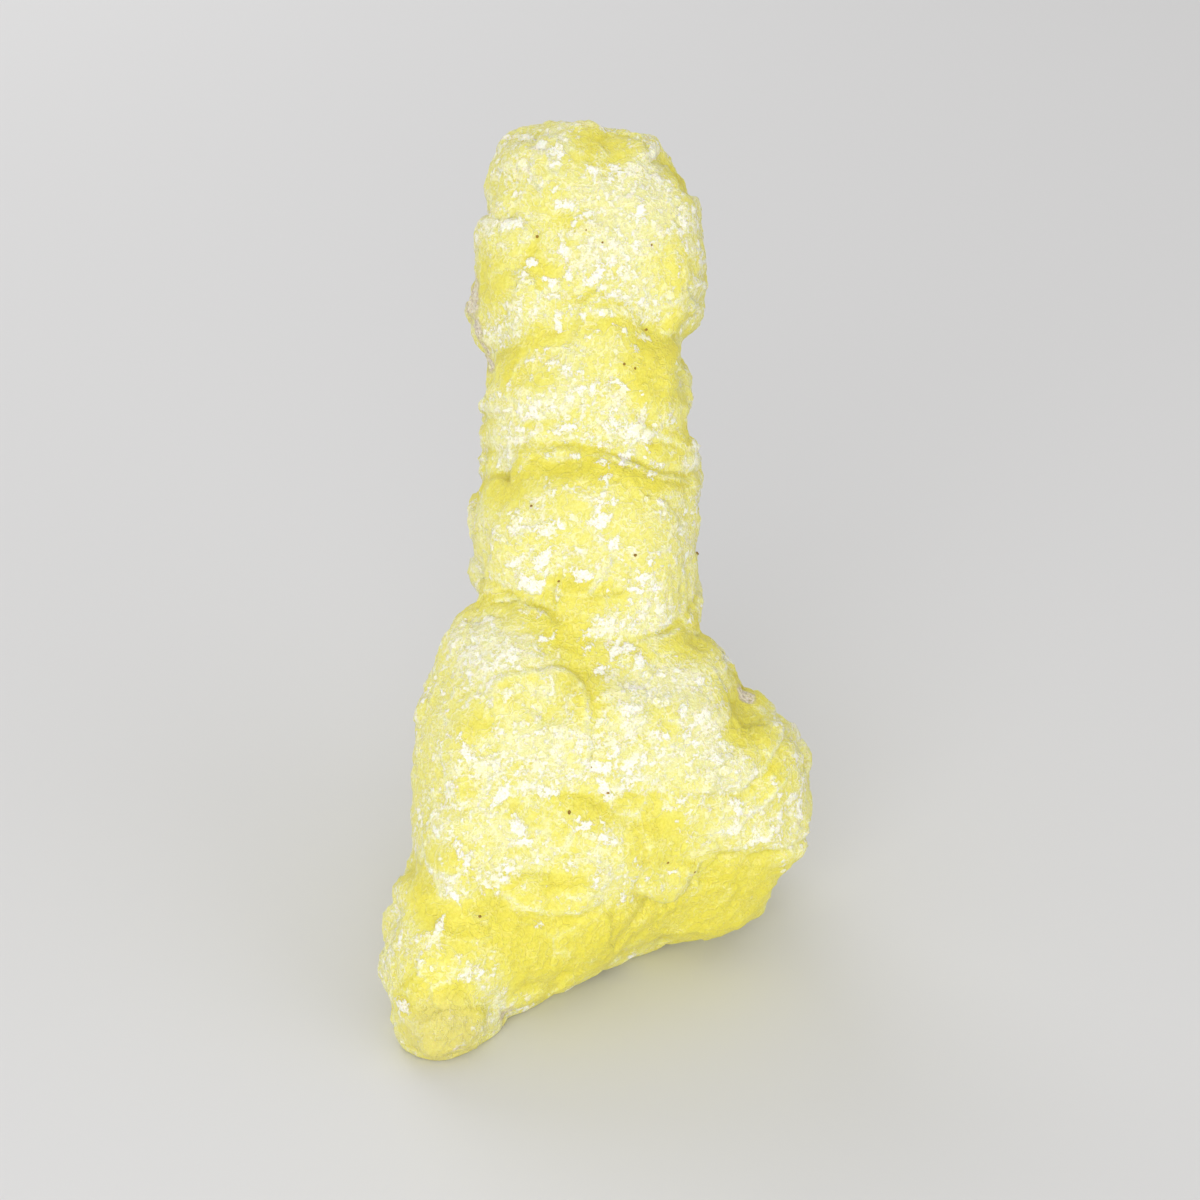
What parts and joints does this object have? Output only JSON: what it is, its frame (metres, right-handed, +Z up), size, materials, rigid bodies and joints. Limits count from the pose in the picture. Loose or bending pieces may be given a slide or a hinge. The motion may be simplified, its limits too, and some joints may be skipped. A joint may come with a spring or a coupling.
{
  "type": "brucite crystal specimen",
  "caption": "Freestanding botryoidal brucite specimen: waxy yellow rounded lobes that form a broad foot and a leaning, lumpy column.",
  "frame": {"origin": "middle of the specimen's bounding box, on the surface that it rests on", "axes": "+Z up along the tallest extent, -Y towards the front face with the toe at its left, +X to the right seen from the front"},
  "size_m": [0.041, 0.0548, 0.0743],
  "materials": {
    "brucite": "waxy, slightly translucent"
  },
  "bodies": {
    "root": {"brucite_crystal": "brucite"}
  },
  "joints": []
}
